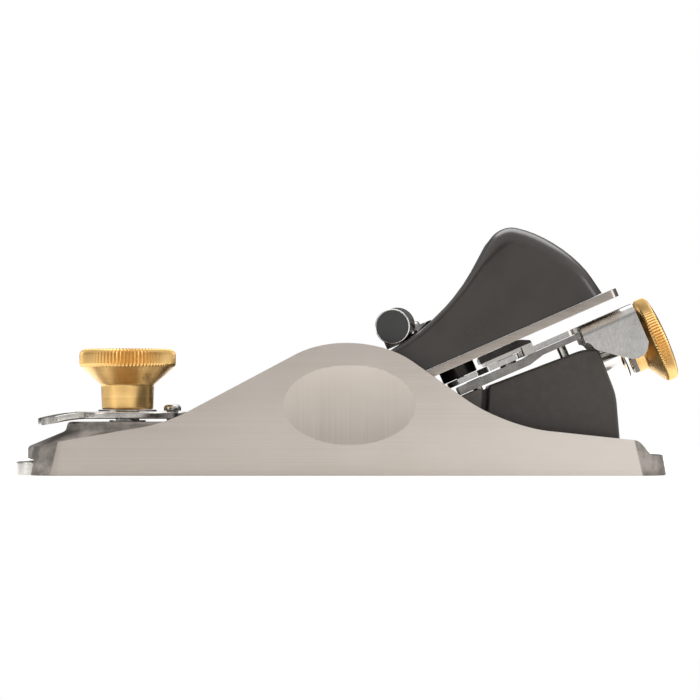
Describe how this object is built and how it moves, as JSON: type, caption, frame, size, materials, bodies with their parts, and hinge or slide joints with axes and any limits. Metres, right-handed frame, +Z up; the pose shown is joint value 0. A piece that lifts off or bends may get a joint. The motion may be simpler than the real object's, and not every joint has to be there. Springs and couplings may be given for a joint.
{
  "type": "block plane",
  "caption": "Metal block plane with a knurled toe knob, an adjustable mouth, a screw-fed cutter with lateral lever, and a cam-locked lever cap.",
  "frame": {"origin": "on the sole, half way between the ends of the ground sides and half way across", "axes": "+X from toe to heel, +Y to the left seen from the heel, +Z up from the sole"},
  "size_m": [0.1675, 0.0508, 0.0615],
  "materials": {
    "cast": "ground bright on the sides and sole, bare sand-cast texture at the ends",
    "mouth_steel": "ground",
    "brass": "turned, straight knurl",
    "bright_steel": "bright plated",
    "black_steel": "black oxide",
    "enamel": "semi-gloss dark enamel",
    "cutter_steel": "ground tool steel",
    "plain_steel": "turned"
  },
  "bodies": {
    "plane_body": {"body_casting": "cast", "adjuster_stud": "plain_steel", "throat_cam_pin": "bright_steel", "guide_screw_front": "plain_steel", "guide_screw_rear": "plain_steel"},
    "mouth_slide": {"throat_plate": "mouth_steel", "knob_stud": "plain_steel"},
    "mouth_lever": {"throat_lever": "bright_steel"},
    "toe_knob": {"throat_knob": "brass", "knob_washer": "bright_steel"},
    "carriage": {"depth_slide": "bright_steel", "tooth_plate": "black_steel", "lever_rivet": "plain_steel"},
    "wheel": {"adjusting_wheel": "brass", "wheel_collar": "bright_steel"},
    "lateral": {"lateral_lever": "bright_steel"},
    "roller": {"lateral_roller": "black_steel"},
    "blade": {"cutter": "cutter_steel"},
    "cap": {"lever_cap": "enamel"},
    "cam": {"cam_lever": "bright_steel", "cam_rivet": "plain_steel", "cam_face": "plain_steel"},
    "screw": {"cap_screw": "bright_steel"}
  },
  "joints": [
    {"name": "mouth_opening", "type": "slide", "parent": "plane_body", "child": "mouth_slide", "axis": [1, 0, 0], "range_m": [-0.0012, 0.0008]},
    {"name": "mouth_lever_swing", "type": "hinge", "parent": "mouth_slide", "child": "mouth_lever", "pos_m": [-0.0556, 0, 0.0148], "axis": [0, 0, 1], "range_deg": [-23, 15.4]},
    {"name": "toe_knob_turn", "type": "hinge", "parent": "mouth_slide", "child": "toe_knob", "pos_m": [-0.0556, 0, 0.024], "axis": [0, 0, 1], "range_deg": [0, 360]},
    {"name": "depth_feed", "type": "slide", "parent": "plane_body", "child": "carriage", "axis": [0.9164, 0, 0.4003], "range_m": [-0.0008, 0.0015]},
    {"name": "depth_wheel_turn", "type": "hinge", "parent": "carriage", "child": "wheel", "pos_m": [0.07579, 0, 0.03299], "axis": [0.9164, 0, 0.4003], "range_deg": [-288.1, 540.1]},
    {"name": "lateral_swing", "type": "hinge", "parent": "carriage", "child": "lateral", "pos_m": [0.04059, 0, 0.02864], "axis": [-0.4003, 0, 0.9164], "range_deg": [-2, 2]},
    {"name": "lateral_roller_turn", "type": "hinge", "parent": "lateral", "child": "roller", "pos_m": [0.02807, 0, 0.02633], "axis": [-0.4003, 0, 0.9164], "continuous": true},
    {"name": "cutter_tilt", "type": "hinge", "parent": "carriage", "child": "blade", "pos_m": [0.00203, 0, 0.01698], "axis": [-0.4003, 0, 0.9164], "range_deg": [-0.9, 0.9]},
    {"name": "cap_slide", "type": "slide", "parent": "plane_body", "child": "cap", "axis": [0.9164, 0, 0.4003], "range_m": [0, 0.0085]},
    {"name": "cam_lever_swing", "type": "hinge", "parent": "cap", "child": "cam", "pos_m": [0.01638, 0, 0.0341], "axis": [-0.4003, 0, 0.9164], "range_deg": [-70, 0]},
    {"name": "cap_screw_turn", "type": "hinge", "parent": "plane_body", "child": "screw", "pos_m": [0.00045, 0, 0.0206], "axis": [-0.4003, 0, 0.9164], "range_deg": [0, 360]}
  ],
  "couplings": [
    {"joint": "mouth_lever_swing", "follows": "mouth_opening", "rad_per_m": 333.33},
    {"joint": "depth_wheel_turn", "follows": "depth_feed", "rad_per_m": 6283.2},
    {"joint": "cutter_tilt", "follows": "lateral_swing", "ratio": -0.44928}
  ]
}
